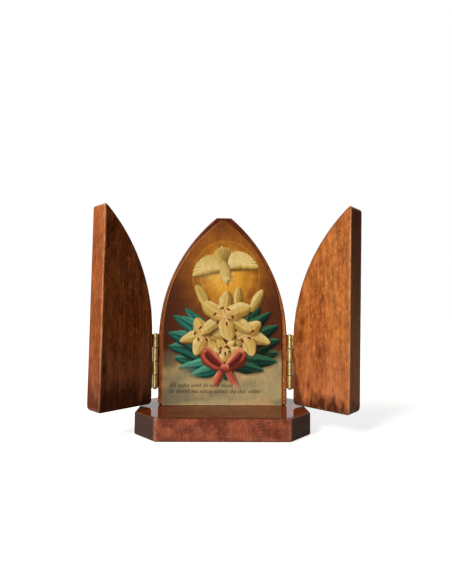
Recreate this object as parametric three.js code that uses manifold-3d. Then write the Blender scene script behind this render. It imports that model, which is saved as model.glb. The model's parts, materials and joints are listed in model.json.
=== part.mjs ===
// A pocket-sized triptych shrine of varnished wood, about 100 mm tall: an eight-sided base carries
// an upright lancet panel with a paper picture on its front, and two half-lancet wings hang on
// brass butt hinges at the panel's side edges. Folded shut, the wings cover the picture.
//
// Millimetres. +Z is up, +X is the viewer's right and -Y is towards the viewer. The origin is the
// middle of the base's underside; the plane Y = 0 holds the front face of the centre panel.

import * as THREE from 'three';
import { mergeVertices } from 'three/addons/utils/BufferGeometryUtils.js';
import Module from 'manifold-3d';

const wasm = await Module();
wasm.setup();

// ---- driving dimensions -------------------------------------------------------------------

const BASE_WIDTH = 77.6;
const BASE_DEPTH = 53;
const BASE_THICKNESS = 10;
const BASE_CHAMFER_X = 10.5;      // how far a cut corner reaches along the front
const BASE_CHAMFER_Y = 12.5;      // and along the side

const PANEL_THICKNESS = 9;
const ARRIS = 0.8;                // the long edges are sanded to this roundness
const CORNER_ROUND = 1.2;         // outline corners, sanded

const PANEL_WIDTH = 61;
const PANEL_HEIGHT = 89.2;
const PANEL_TIP = 7;              // the lancet's point is cut off flat to this width
const SPRING_HEIGHT = 31;         // the sides run straight up to here, then curve inwards
const GLUE_LINE = 0.05;

const WING_MEETING_GAP = 0.6;     // left between the two wings when they are shut
const WING_WIDTH = (PANEL_WIDTH - WING_MEETING_GAP) / 2;
const WING_TIP = 1.1;             // a wing runs out to a near point at its free edge
const WING_LIFT = 0.7;            // the wings swing clear of the base by this much
const WING_HEEL_ROUND = 1.9;      // bottom corner at the hinge side

const PRINT_HALF_WIDTH = 28.35;
const PRINT_HEIGHT = 87.6;
const PRINT_TIP = 2.4;
const PRINT_SPRING = 35;          // its arcs spring higher than the panel's
const PRINT_THICKNESS = 0.25;
const PRINT_SHIFT = -0.15;        // the print is pasted a hair left of the middle

// Each wing stands open from shut by its opening. The hinges are screwed on a little askew, so a
// shut wing leans anticlockwise by its lean, and each was trimmed to meet the other at the tip.
// The boards were planed by hand and differ a little in thickness.
const LEFT_WING = { opening: 127.5, lean: 0.8, height: 89, thickness: 8.6 };
const RIGHT_WING = { opening: 133, lean: 1, height: 90.1, thickness: 9.6 };

const HINGE_LENGTH = 25.4;
const HINGE_BOTTOM = 17.9;        // height of the hinges above the ground
const KNUCKLE_COUNT = 4;
const KNUCKLE_GAP = 0.15;
const BARREL_RADIUS = 1.2;
const LEAF_THICKNESS = 0.6;
const LEAF_REACH = 8;             // from the hinge axis to the leaf's far edge
const LEAF_SEAT = 0.1;            // the leaf stands off the wood by this much
const AXIS_FORWARD = 0.45;        // the hinge axis lies this far in front of the panel
const PIN_RADIUS = 0.6;
const PIN_BORE_RADIUS = 0.68;
const PIN_HEAD_RADIUS = 0.95;
const PIN_HEAD_HEIGHT = 0.35;
const SCREW_INSET = 5;            // from each end of the leaf
const SCREW_REACH = 4.8;          // from the hinge axis
const SCREW_HEAD_RADIUS = 1.25;
const SCREW_HEAD_HEIGHT = 0.35;
const SCREW_HEAD_LIFT = 0.05;     // the head stops this short of the leaf
const SCREW_SHOULDER_RADIUS = 1.0625;
const SCREW_SHOULDER_HEIGHT = 0.21;
const SCREW_CROWN_RADIUS = 0.625;
const SCREW_SHANK_RADIUS = 0.6;
const SCREW_SHANK_LENGTH = 6;
const SCREW_CLEARANCE = 0.3;

const ARC_STEPS = 16;             // straight pieces along one long arc of an outline
const CORNER_STEPS = 3;
const ARRIS_STEPS = 2;
const ROUND_STEPS = 24;           // sides of a knuckle, pin or screw
const CUT_START = 1;              // a hole is cut from this far outside the material

const AXIS_SIDEWAYS = PANEL_WIDTH / 2 + LEAF_SEAT + BARREL_RADIUS;
const WING_EDGE = LEAF_SEAT + BARREL_RADIUS;      // from the hinge axis to a wing's near edge

// ---- materials ----------------------------------------------------------------------------

const stainedWood = new THREE.MeshStandardMaterial({ color: 0x7b3f20, roughness: 0.25 });
const paper = new THREE.MeshStandardMaterial({ color: 0xb08a55, roughness: 0.6 });
const brass = new THREE.MeshStandardMaterial({ color: 0xc9a84a, roughness: 0.3, metalness: 1 });

// ---- solids -------------------------------------------------------------------------------

function toSolid(geometry) {
  const bare = geometry.index ? geometry.toNonIndexed() : geometry.clone();
  bare.deleteAttribute('normal');
  bare.deleteAttribute('uv');
  const merged = mergeVertices(bare, 1e-4);
  return new wasm.Manifold(new wasm.Mesh({
    numProp: 3,
    vertProperties: new Float32Array(merged.attributes.position.array),
    triVerts: new Uint32Array(merged.index.array),
  }));
}

function toGeometry(solid) {
  const mesh = solid.getMesh();
  const geometry = new THREE.BufferGeometry();
  geometry.setAttribute('position', new THREE.BufferAttribute(mesh.vertProperties, mesh.numProp));
  geometry.setIndex(new THREE.BufferAttribute(mesh.triVerts, 1));
  geometry.computeVertexNormals();
  return geometry;
}

function block(low, high) {
  const size = new THREE.Vector3().subVectors(high, low);
  const middle = new THREE.Vector3().addVectors(low, high).multiplyScalar(0.5);
  return toSolid(new THREE.BoxGeometry(size.x, size.y, size.z).translate(middle.x, middle.y, middle.z));
}

// An upright rod on the Z axis, from height low to height high.
function rod(radius, low, high) {
  const cylinder = new THREE.CylinderGeometry(radius, radius, high - low, ROUND_STEPS);
  return toSolid(cylinder.rotateX(Math.PI / 2).translate(0, 0, (low + high) / 2));
}

// A rod along X, centred at y and z, that runs from x1 to x2.
function crossRod(radius, x1, x2, y, z) {
  const cylinder = new THREE.CylinderGeometry(radius, radius, Math.abs(x2 - x1), ROUND_STEPS);
  return toSolid(cylinder.rotateZ(Math.PI / 2).translate((x1 + x2) / 2, y, z));
}

function reflectX(geometry) {
  const flipped = geometry.index ? geometry.toNonIndexed() : geometry.clone();
  const position = flipped.attributes.position;
  for (let corner = 0; corner < position.count; corner += 3) {
    const [a, b, c] = [0, 1, 2].map((k) => new THREE.Vector3().fromBufferAttribute(position, corner + k));
    position.setXYZ(corner, -a.x, a.y, a.z);
    position.setXYZ(corner + 1, -c.x, c.y, c.z);
    position.setXYZ(corner + 2, -b.x, b.y, b.z);
  }
  return flipped;
}

// ---- outlines -----------------------------------------------------------------------------

// The side of a lancet: an arc that leaves the upright side without a kink and reaches the
// tip's half width. Its radius follows from the widths and the rise.
function arcRadius(halfWidth, halfTip, rise) {
  const inward = halfWidth - halfTip;
  return (inward * inward + rise * rise) / (2 * inward);
}

// Points of that arc on the right-hand side, from the spring line up to the tip.
function lancetArc(halfWidth, halfTip, spring, top) {
  const radius = arcRadius(halfWidth, halfTip, top - spring);
  const sweep = Math.asin((top - spring) / radius);
  const points = [];
  for (let step = 0; step <= ARC_STEPS; step += 1) {
    const angle = sweep * step / ARC_STEPS;
    points.push(new THREE.Vector2(
      halfWidth - radius + radius * Math.cos(angle),
      spring + radius * Math.sin(angle),
    ));
  }
  return points;
}

// A closed outline with each marked corner replaced by a small round. A corner is
// { at: Vector2, round: radius }; one with no round stays as it is.
function roundedOutline(corners) {
  const points = [];
  corners.forEach(({ at, round }, index) => {
    if (!round) {
      points.push(at);
      return;
    }
    const before = corners[(index + corners.length - 1) % corners.length].at;
    const after = corners[(index + 1) % corners.length].at;
    const back = before.clone().sub(at).normalize();
    const on = after.clone().sub(at).normalize();
    const halfAngle = Math.acos(back.dot(on)) / 2;
    const trim = round / Math.tan(halfAngle);
    const centre = at.clone().addScaledVector(
      back.clone().add(on).normalize(),
      round / Math.sin(halfAngle),
    );
    const start = at.clone().addScaledVector(back, trim).sub(centre);
    const end = at.clone().addScaledVector(on, trim).sub(centre);
    const turn = Math.atan2(start.x * end.y - start.y * end.x, start.dot(end));
    for (let step = 0; step <= CORNER_STEPS; step += 1) {
      const spoke = start.clone().rotateAround(new THREE.Vector2(), turn * step / CORNER_STEPS);
      points.push(centre.clone().add(spoke));
    }
  });
  return new THREE.Shape(points);
}

function sandedBoard(outline, thickness) {
  return new THREE.ExtrudeGeometry(outline, {
    depth: thickness - 2 * ARRIS,
    bevelThickness: ARRIS,
    bevelSize: ARRIS,
    bevelOffset: -ARRIS,
    bevelSegments: ARRIS_STEPS,
  }).translate(0, 0, ARRIS);
}

// Stands a flat piece up: its outline's second axis becomes Z, and its thickness runs back from
// the plane Y = front.
function standUp(geometry, thickness, front) {
  return geometry.rotateX(Math.PI / 2).translate(0, front + thickness, 0);
}

// ---- base ---------------------------------------------------------------------------------

function baseGeometry() {
  const x = BASE_WIDTH / 2;
  const y = BASE_DEPTH / 2;
  const quarter = [[x, y - BASE_CHAMFER_Y], [x - BASE_CHAMFER_X, y]];
  const mirrored = [...quarter].reverse();
  const corners = [
    ...quarter,
    ...mirrored.map(([cx, cy]) => [-cx, cy]),
    ...quarter.map(([cx, cy]) => [-cx, -cy]),
    ...mirrored.map(([cx, cy]) => [cx, -cy]),
  ].map(([cx, cy]) => ({ at: new THREE.Vector2(cx, cy), round: CORNER_ROUND }));
  return sandedBoard(roundedOutline(corners), BASE_THICKNESS);
}

// ---- centre panel and picture -------------------------------------------------------------

// A whole lancet on the X axis: straight sides, two arcs and a flat tip.
function lancetOutline(halfWidth, tip, spring, top, cornerRound) {
  const right = lancetArc(halfWidth, tip / 2, spring, top);
  const left = right.map((point) => new THREE.Vector2(-point.x, point.y)).reverse();
  const corners = [
    { at: new THREE.Vector2(-halfWidth, 0), round: cornerRound },
    { at: new THREE.Vector2(halfWidth, 0), round: cornerRound },
    ...right.map((at) => ({ at })),
    ...left.map((at) => ({ at })),
  ];
  return roundedOutline(corners);
}

// Heights of the screws above the ground: the same on all four leaves.
const SCREW_HEIGHTS = [
  HINGE_BOTTOM + SCREW_INSET,
  HINGE_BOTTOM + HINGE_LENGTH - SCREW_INSET,
];
const PILOT_RADIUS = SCREW_SHANK_RADIUS + SCREW_CLEARANCE;
const PILOT_DEPTH = SCREW_SHANK_LENGTH - LEAF_THICKNESS - LEAF_SEAT + SCREW_CLEARANCE;

function panelGeometry() {
  const outline = lancetOutline(PANEL_WIDTH / 2, PANEL_TIP, SPRING_HEIGHT, PANEL_HEIGHT, CORNER_ROUND);
  const upright = standUp(sandedBoard(outline, PANEL_THICKNESS), PANEL_THICKNESS, 0);
  let solid = toSolid(upright.translate(0, 0, BASE_THICKNESS + GLUE_LINE));
  for (const side of [-1, 1]) {
    for (const height of SCREW_HEIGHTS) {
      const mouth = side * (PANEL_WIDTH / 2 + CUT_START);
      const bottom = side * (PANEL_WIDTH / 2 - PILOT_DEPTH);
      solid = solid.subtract(crossRod(PILOT_RADIUS, mouth, bottom, SCREW_REACH - AXIS_FORWARD, height));
    }
  }
  return toGeometry(solid);
}

function printGeometry() {
  const outline = lancetOutline(PRINT_HALF_WIDTH, PRINT_TIP, PRINT_SPRING, PRINT_HEIGHT, 0);
  const sheet = new THREE.ExtrudeGeometry(outline, { depth: PRINT_THICKNESS, bevelEnabled: false });
  standUp(sheet, PRINT_THICKNESS, -PRINT_THICKNESS - GLUE_LINE);
  return sheet.translate(PRINT_SHIFT, 0, BASE_THICKNESS + GLUE_LINE);
}

// ---- wings --------------------------------------------------------------------------------

// A left wing as it lies when shut, seen from its own hinge axis: it reaches along +X, and its
// inner face is AXIS_FORWARD in front of the axis. Its outline is turned about the middle of the
// hinge by lean degrees, except that the edge on the hinge stays upright.
function wingGeometry(height, lean, thickness) {
  const near = WING_EDGE;
  const free = WING_EDGE + WING_WIDTH;
  const foot = BASE_THICKNESS + WING_LIFT;
  const hingeMiddle = new THREE.Vector2(near, HINGE_BOTTOM + HINGE_LENGTH / 2 - foot);
  const leaning = (x, y) => {
    const at = new THREE.Vector2(x, y).rotateAround(hingeMiddle, THREE.MathUtils.degToRad(lean));
    at.x = x === near ? near : Math.max(near, at.x);
    return at;
  };
  const arc = lancetArc(WING_WIDTH, WING_TIP, SPRING_HEIGHT, height);
  const corners = [
    { at: leaning(near, 0), round: WING_HEEL_ROUND },
    { at: leaning(free, 0), round: CORNER_ROUND },
    { at: leaning(free, height) },
    ...arc.slice(1).reverse().map((point) => ({ at: leaning(free - point.x, point.y) })),
    { at: leaning(near, SPRING_HEIGHT) },
  ];
  const board = sandedBoard(roundedOutline(corners), thickness);
  const front = -AXIS_FORWARD - thickness;
  let solid = toSolid(standUp(board, thickness, front).translate(0, 0, foot));
  for (const screwHeight of SCREW_HEIGHTS) {
    const hole = [near - CUT_START, near + PILOT_DEPTH, -SCREW_REACH, screwHeight];
    solid = solid.subtract(crossRod(PILOT_RADIUS, ...hole));
  }
  return toGeometry(solid);
}

// ---- hinges -------------------------------------------------------------------------------

// One leaf of a butt hinge, with the hinge axis on Z. woodSide is the direction of the wood it is
// screwed to along X, reach the direction it extends along Y, and topKnuckle says whether it has
// the uppermost knuckle or the next one down.
function leafGeometry(woodSide, reach, topKnuckle) {
  const z = HINGE_BOTTOM;
  const onWood = woodSide * BARREL_RADIUS;
  const offWood = woodSide * (BARREL_RADIUS - LEAF_THICKNESS);
  const strip = (from, to, low, high) => block(
    new THREE.Vector3(Math.min(onWood, offWood), Math.min(reach * from, reach * to), low),
    new THREE.Vector3(Math.max(onWood, offWood), Math.max(reach * from, reach * to), high),
  );
  const notch = BARREL_RADIUS + SCREW_CLEARANCE;
  let solid = strip(notch, LEAF_REACH, z, z + HINGE_LENGTH);
  const pitch = HINGE_LENGTH / KNUCKLE_COUNT;
  for (let index = topKnuckle ? 0 : 1; index < KNUCKLE_COUNT; index += 2) {
    const high = z + HINGE_LENGTH - index * pitch - (index === 0 ? 0 : KNUCKLE_GAP / 2);
    const isLowest = index === KNUCKLE_COUNT - 1;
    const low = z + HINGE_LENGTH - (index + 1) * pitch + (isLowest ? 0 : KNUCKLE_GAP / 2);
    solid = solid.add(rod(BARREL_RADIUS, low, high)).add(strip(0, notch + LEAF_THICKNESS, low, high));
  }
  solid = solid.subtract(rod(PIN_BORE_RADIUS, z - CUT_START, z + HINGE_LENGTH + CUT_START));
  for (const height of SCREW_HEIGHTS) {
    const shankHole = SCREW_SHANK_RADIUS + SCREW_CLEARANCE;
    solid = solid.subtract(crossRod(shankHole, 0, 2 * onWood, reach * SCREW_REACH, height));
  }
  return toGeometry(solid);
}

// The pin is headed over at both ends, just clear of the end knuckles.
function pinGeometry() {
  const low = HINGE_BOTTOM - KNUCKLE_GAP;
  const high = HINGE_BOTTOM + HINGE_LENGTH + KNUCKLE_GAP;
  const crown = PIN_HEAD_RADIUS / 2;
  const profile = [
    [0, low - PIN_HEAD_HEIGHT],
    [crown, low - PIN_HEAD_HEIGHT],
    [PIN_HEAD_RADIUS, low - PIN_HEAD_HEIGHT / 2],
    [PIN_HEAD_RADIUS, low],
    [PIN_RADIUS, low],
    [PIN_RADIUS, high],
    [PIN_HEAD_RADIUS, high],
    [PIN_HEAD_RADIUS, high + PIN_HEAD_HEIGHT / 2],
    [crown, high + PIN_HEAD_HEIGHT],
    [0, high + PIN_HEAD_HEIGHT],
  ].map(([radius, height]) => new THREE.Vector2(radius, height));
  return new THREE.LatheGeometry(profile, ROUND_STEPS).rotateX(Math.PI / 2);
}

// A small round-head screw whose shank runs along -X from the underside of its head.
function screwGeometry() {
  const profile = [
    [0, -SCREW_SHANK_LENGTH],
    [SCREW_SHANK_RADIUS, -SCREW_SHANK_LENGTH + SCREW_SHANK_RADIUS],
    [SCREW_SHANK_RADIUS, 0],
    [SCREW_HEAD_RADIUS, 0],
    [SCREW_SHOULDER_RADIUS, SCREW_SHOULDER_HEIGHT],
    [SCREW_CROWN_RADIUS, SCREW_HEAD_HEIGHT],
    [0, SCREW_HEAD_HEIGHT],
  ].map(([radius, height]) => new THREE.Vector2(radius, height));
  return new THREE.LatheGeometry(profile, ROUND_STEPS).rotateZ(-Math.PI / 2);
}

// ---- assembly -----------------------------------------------------------------------------

const triptych = new THREE.Group();

function add(parent, name, geometry, material) {
  const mesh = new THREE.Mesh(geometry, material);
  mesh.name = name;
  parent.add(mesh);
  return mesh;
}

add(triptych, 'base', baseGeometry(), stainedWood);
add(triptych, 'centre_panel', panelGeometry(), stainedWood);
add(triptych, 'picture_print', printGeometry(), paper);

// Where the underside of a screw head sits, from the hinge axis.
const HEAD_SEAT = LEAF_THICKNESS - BARREL_RADIUS + SCREW_HEAD_LIFT;

// Screws of one leaf: the heads face away from the wood.
function addScrews(parent, name, woodSide, reach) {
  SCREW_HEIGHTS.forEach((height, index) => {
    const screw = add(parent, `${name}_${index + 1}`, screwGeometry(), brass);
    screw.rotation.z = woodSide < 0 ? 0 : Math.PI;
    screw.position.set(-woodSide * HEAD_SEAT, reach * SCREW_REACH, height);
  });
}

// side is -1 for the left wing and +1 for the right. Both hinges are the same fitting, the left
// one hung upside down, so the uppermost knuckle is the wing's on the left.
function addWing(side, name, { opening, height, lean, thickness }) {
  const woodSide = -side;
  const axis = new THREE.Group();
  axis.position.set(side * AXIS_SIDEWAYS, -AXIS_FORWARD, 0);
  triptych.add(axis);
  add(axis, `${name}_panel_leaf`, leafGeometry(woodSide, 1, side > 0), brass);
  add(axis, `${name}_hinge_pin`, pinGeometry(), brass);
  addScrews(axis, `${name}_panel_screw`, woodSide, 1);

  const swing = new THREE.Group();
  swing.rotation.z = side * THREE.MathUtils.degToRad(opening);
  axis.add(swing);
  const wing = wingGeometry(height, -side * lean, thickness);
  add(swing, `${name}_wing`, side < 0 ? wing : reflectX(wing), stainedWood);
  add(swing, `${name}_wing_leaf`, leafGeometry(woodSide, -1, side < 0), brass);
  addScrews(swing, `${name}_wing_screw`, woodSide, -1);
}

addWing(-1, 'left', LEFT_WING);
addWing(1, 'right', RIGHT_WING);

export default triptych;
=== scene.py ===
# A pocket-sized triptych shrine: an eight-sided varnished base, an upright lancet panel with a
# pasted paper print, and two half-lancet wings on brass butt hinges at the panel's sides.
import json
import math
from math import radians

import bmesh
import bpy
import numpy as np
from mathutils import Matrix, Vector, noise


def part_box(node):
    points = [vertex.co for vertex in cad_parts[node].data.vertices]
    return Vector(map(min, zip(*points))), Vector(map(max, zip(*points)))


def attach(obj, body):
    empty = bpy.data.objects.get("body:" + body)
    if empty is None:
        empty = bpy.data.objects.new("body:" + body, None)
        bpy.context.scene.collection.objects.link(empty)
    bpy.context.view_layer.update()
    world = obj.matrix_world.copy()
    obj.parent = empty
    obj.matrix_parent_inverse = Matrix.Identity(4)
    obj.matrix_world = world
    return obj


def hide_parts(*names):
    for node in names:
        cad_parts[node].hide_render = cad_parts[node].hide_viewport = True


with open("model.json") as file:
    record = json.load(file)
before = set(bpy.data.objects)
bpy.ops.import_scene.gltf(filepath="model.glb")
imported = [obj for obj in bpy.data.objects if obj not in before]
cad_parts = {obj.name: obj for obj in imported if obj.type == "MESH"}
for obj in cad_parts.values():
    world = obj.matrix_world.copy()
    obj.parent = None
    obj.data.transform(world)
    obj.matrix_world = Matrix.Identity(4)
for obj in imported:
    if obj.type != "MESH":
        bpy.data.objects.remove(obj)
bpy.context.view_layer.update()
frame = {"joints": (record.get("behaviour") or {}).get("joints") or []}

scene = bpy.context.scene

# ---- Camera ----
# A wide lens close in front, a little left of the middle and tilted up by a few degrees, held
# very slightly out of level.
CAMERA_PLACE = (-0.00289, -0.21652, 0.05288)
CAMERA_TURN = radians(1.10)  # towards the right
CAMERA_TILT = radians(2.81)  # upwards
CAMERA_ROLL = radians(0.45)
lens = bpy.data.cameras.new("camera")
lens.lens = 27.98
lens.clip_start = 0.01
camera = bpy.data.objects.new("camera", lens)
camera.matrix_world = (
    Matrix.Translation(CAMERA_PLACE)
    @ Matrix.Rotation(-CAMERA_TURN, 4, "Z")
    @ Matrix.Rotation(radians(90) + CAMERA_TILT, 4, "X")
    @ Matrix.Rotation(CAMERA_ROLL, 4, "Z")
)
scene.collection.objects.link(camera)
scene.camera = camera
scene.view_settings.view_transform = "Standard"


# ---- Studio: floor, key light and room ----
# A plain white floor that runs out of sight, one large soft key light from the front left, and
# a dim room, brighter on the left, whose white backdrop shows only in the varnish.
def linear(colour):
    """An sRGB hex colour as linear RGBA."""
    parts = [int(colour[i:i + 2], 16) / 255 for i in (1, 3, 5)]
    return tuple(p / 12.92 if p <= 0.04045 else ((p + 0.055) / 1.055) ** 2.4 for p in parts) + (1,)


def plug(into, sockets):
    """Fills the sockets of a node of tree, the tree in hand. A value is a plain value, a hex
    colour, another node's output, or a node, which gives the first of its outputs in use."""
    for socket, value in sockets.items():
        if isinstance(value, bpy.types.Node):
            value = next(output for output in value.outputs if output.enabled)
        if isinstance(value, bpy.types.NodeSocket):
            tree.links.new(value, into.inputs[socket])
        else:
            into.inputs[socket].default_value = linear(value) if isinstance(value, str) else value


def node(kind, sockets=None, **settings):
    """Adds one shader node to the tree in hand, with its settings and sockets."""
    made = tree.nodes.new("ShaderNode" + kind)
    for key, value in settings.items():
        setattr(made, key, value)
    plug(made, sockets or {})
    return made


def new_material(name):
    """A material and its node tree."""
    material = bpy.data.materials.new(name)
    material.use_nodes = True
    return material, material.node_tree


FLOOR_REACH = 12  # metres each way
floor_mesh = bmesh.new()
bmesh.ops.create_grid(floor_mesh, x_segments=1, y_segments=1, size=FLOOR_REACH)
floor_data = bpy.data.meshes.new("floor")
floor_mesh.to_mesh(floor_data)
floor_mesh.free()
floor = bpy.data.objects.new("floor", floor_data)
scene.collection.objects.link(floor)

# Matt white paint, burnt out almost to white to the eye as on a light table. What it throws back
# on the object is that of a plain pale floor.
floor_paint, tree = new_material("matt white floor")
tree.nodes.clear()
pale = node("BsdfDiffuse", {"Color": "#807a70"})
bright = node("BsdfDiffuse", {"Color": "#b8b8b8"})
burnt = node("Emission", {"Color": "#ffffff", "Strength": 0.72})
lit = node("AddShader", {0: bright, 1: burnt})
seen = node("LightPath")
either = node("MixShader", {0: seen.outputs["Is Camera Ray"], 1: pale, 2: lit})
node("OutputMaterial", {0: either})
floor_data.materials.append(floor_paint)

# The soft key light, a weak light from behind, and a low one from the front left that does little
# to the wood but draws the bright line down each brass barrel.
for name, energy, spread, colour, turn in (
    ("key light", 3.9, 24, "#fffaf2", (55, 0, -44)),
    ("back light", 0.9, 40, "#ffffff", (-48, 0, -22)),
    ("low light", 0.55, 6, "#fff6dc", (84, 0, -17)),
):
    sun = bpy.data.objects.new(name, bpy.data.lights.new(name, "SUN"))
    sun.data.energy = energy
    sun.data.angle = radians(spread)
    sun.data.color = linear(colour)[:3]
    sun.rotation_euler = [radians(angle) for angle in turn]
    scene.collection.objects.link(sun)

room = bpy.data.worlds.new("room")
room.use_nodes = True
scene.world = room
tree = room.node_tree
tree.nodes.clear()
way = node("SeparateXYZ", {0: node("TexCoord").outputs["Generated"]})
glow = node("MapRange", {
    "Value": way.outputs["X"], "From Min": -1.0, "From Max": 0.3, "To Min": 0.36, "To Max": 0.022,
})
dim = node("Background", {"Color": "#f6f2ee", "Strength": glow})
white = node("Background", {"Color": "#ffffff", "Strength": 1.0})
seen = node("LightPath")
behind = node("MapRange", {"Value": way.outputs["Y"], "From Min": 0.24, "From Max": 0.8})
mirrored = node("Math", {0: behind, 1: seen.outputs["Is Glossy Ray"]}, operation="MULTIPLY")
backdrop = node("Background", {"Color": "#fbfaff", "Strength": 1.35})
around = node("MixShader", {0: mirrored, 1: dim, 2: backdrop})
either = node("MixShader", {0: seen.outputs["Is Camera Ray"], 1: around, 2: white})
node("OutputWorld", {0: either})


# ---- Base ----
# A flat board of fine-grained cedar with its four corners sawn off and its arrises sanded round,
# stained reddish brown and given a thick gloss varnish. The panel is glued upright on it.
MM = 0.001
BASE_CHAMFER_X = 10.5
BASE_CHAMFER_Y = 12.5
PALE_ARRIS_REACH = 3  # the pale arris line, worn wood and painted highlight, runs this far from an upright corner
LONG_ARRIS_PALE = 0.15  # and the long arrises get this share of it
ARRIS = 0.8  # the long edges are sanded to this roundness
CORNER_ROUND = 1.2
SAWN_CORNER_TURN = radians(44)  # how much the outline turns at each end of a sawn corner
ARRIS_STEPS = 4
ARRIS_CROWN = 0.7  # an arris is palest this far into it, in halves of its roundness
WEAR_WAVES = 0.35  # how often the wear comes and goes, to the millimetre
LEVEL = 1e-5  # two heights that differ by less than this are the same
EDGE_STEP = 1.2  # the outline is divided to pieces of about this length
FULL_PALE_TURN = radians(18)  # an outline that turns this much at one edge is drawn fully pale there


def shift(bm, *vec):
    bmesh.ops.translate(bm, vec=vec, verts=bm.verts[:])


def stretch(bm, *vec):
    bmesh.ops.scale(bm, vec=vec, verts=bm.verts[:])


def round_off(bm, geom, affect, offset, segments):
    """Rounds corners (affect is VERTICES) or arrises (EDGES)."""
    bmesh.ops.bevel(
        bm, geom=geom, affect=affect, offset=offset, segments=segments, profile=0.5, material=-1,
        offset_type="OFFSET",
    )


def sanded_board(bm, thickness, wear):
    """Gives a flat outline its thickness along Z and rounds its arrises, uneven by up to wear.
    Returns the layer that says how pale each point is drawn: worn wood and partly a painted
    highlight along the arrises, fullest down the upright corners where the outline turns."""
    for edge in list(bm.edges):
        cuts = round(edge.calc_length() / EDGE_STEP) - 1
        if cuts > 0:
            bmesh.ops.subdivide_edges(bm, edges=[edge], cuts=cuts)
    face = bmesh.ops.contextual_create(bm, geom=bm.edges[:])["faces"]
    grown = bmesh.ops.extrude_face_region(bm, geom=face, use_keep_orig=True)["geom"]
    top = [v for v in grown if isinstance(v, bmesh.types.BMVert)]
    bmesh.ops.translate(bm, vec=(0, 0, thickness), verts=top)
    bmesh.ops.recalc_face_normals(bm, faces=bm.faces[:])
    rims = [e for e in bm.edges if abs(e.verts[0].co.z - e.verts[1].co.z) < LEVEL]
    round_off(bm, rims, "EDGES", ARRIS, ARRIS_STEPS)
    rub_and_highlight = bm.verts.layers.float.new("rub_and_highlight")
    for vert in bm.verts:
        depth = min(vert.co.z, thickness - vert.co.z)
        if depth < LEVEL:
            continue
        # Painted highlight: the upright corners, where the outline turns, are drawn pale as a line of
        # light down them.
        across = [e for e in vert.link_edges if abs(e.verts[0].co.z - e.verts[1].co.z) > thickness / 2]
        turning = max([e.calc_face_angle(0) for e in across], default=0) / FULL_PALE_TURN
        from_crown = abs(2 * depth / ARRIS - ARRIS_CROWN) / (2 - ARRIS_CROWN)
        vert[rub_and_highlight] = max(1 - from_crown, min(turning, 1), 0)
    for vert in bm.verts:
        vert.normal_update()
        vert.co -= vert.normal * wear * vert[rub_and_highlight] * (0.5 + 0.5 * noise.noise(vert.co * WEAR_WAVES))
    return rub_and_highlight


def place_piece(bm, name, material, body, stands_for):
    """Makes a piece of a mesh worked in millimetres and lets it ride on its body."""
    stretch(bm, MM, MM, MM)
    bmesh.ops.recalc_face_normals(bm, faces=bm.faces[:])
    for face in bm.faces:
        face.smooth = True
    data = bpy.data.meshes.new(name)
    bm.to_mesh(data)
    bm.free()
    piece = bpy.data.objects.new(name, data)
    scene.collection.objects.link(piece)
    data.materials.append(material)
    shading = piece.modifiers.new("even shading", "WEIGHTED_NORMAL")
    shading.weight = 100
    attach(piece, body)
    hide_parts(*stands_for)
    return piece


def tone_over(colour, tone, pattern, start, end, most=1.0):
    """Lays a tone over a colour: none of it where the pattern is at start, most of it at end."""
    share = node("MapRange", {"Value": pattern, "From Min": start, "From Max": end, "To Max": most})
    return node("Mix", {0: share, 6: colour, 7: tone}, data_type="RGBA")


def varied(colour, pattern, start, end, least, most):
    """Darkens a colour to least of itself where the pattern is at start, and to most at end."""
    factor = node("MapRange", {
        "Value": pattern, "From Min": start, "From Max": end, "To Min": least, "To Max": most,
    })
    return node("VectorMath", {0: colour, 1: factor}, operation="MULTIPLY")


def speckle(sizes, detail, turn=(0, 0, 0)):
    """Noise in an object's own coordinates. sizes are those of its blots along each axis, in mm."""
    coords = node("TexCoord")
    scale = [1 / (size * MM) for size in sizes]
    laid = node("Mapping", {"Vector": coords.outputs["Object"], "Rotation": turn, "Scale": scale})
    return node("TexNoise", {"Vector": laid, "Scale": 1.0, "Detail": detail})


def cedar(place, turn, tones, seed, contrast=1.0, fleck_share=0.8):
    """Fine-grained cedar, stained. place and turn lay the grain, which runs along Z, on a board;
    contrast is that of its streaks. Returns the board's own coordinates, colour and patterns."""
    coords = node("TexCoord")
    board = node("Mapping", {
        "Vector": coords.outputs["Object"], "Location": place, "Rotation": turn, "Scale": (MM, MM, MM),
    }, vector_type="TEXTURE")
    # Each pattern is noise stretched along the grain: its size across and along it in mm, and detail.
    patterns = {
        "bands": (4.5, 70.0, 2),
        "streaks": (0.95, 12.0, 3),
        "clouds": (2.2, 3.6, 3),
        "flecks": (0.42, 1.1, 2),
        "dashes": (0.7, 4.5, 2),
        "pores": (0.35, 2.6, 1),
        "blotches": (4.0, 8.0, 3),
    }
    figure = {}
    for index, (pattern, (across, along, detail)) in enumerate(patterns.items()):
        moved = node("VectorMath", {
            0: board, 1: (31.0 * seed, 17.0 * index, 11.0 * seed),
        }, operation="ADD")
        drawn_out = node("VectorMath", {
            0: moved, 1: (1 / across, 1 / across, 1 / along),
        }, operation="MULTIPLY")
        figure[pattern] = node("TexNoise", {
            "Vector": drawn_out, "Scale": 1.0, "Detail": detail, "Roughness": 0.6,
        })
    shade, body, light, dark = tones
    colour = tone_over(shade, body, figure["bands"], 0.36, 0.64)
    colour = tone_over(colour, light, figure["flecks"], 0.5, 0.68, fleck_share)
    colour = varied(colour, figure["streaks"], 0.32, 0.68, 1 - 0.26 * contrast, 1 + 0.2 * contrast)
    colour = varied(colour, figure["clouds"], 0.35, 0.65, 0.76, 1.22)
    colour = tone_over(colour, dark, figure["dashes"], 0.55, 0.7, 0.55)
    return board, colour, figure


def soaked_ends(colour, grain_axis, dark, share):
    """Darkens the faces that cut across the grain, because end grain drinks more stain."""
    facing = node("SeparateXYZ", {0: node("TexCoord").outputs["Normal"]})
    size = node("Math", {0: facing.outputs[grain_axis]}, operation="ABSOLUTE")
    return tone_over(colour, dark, size, 0.3, 0.75, share)


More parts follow.
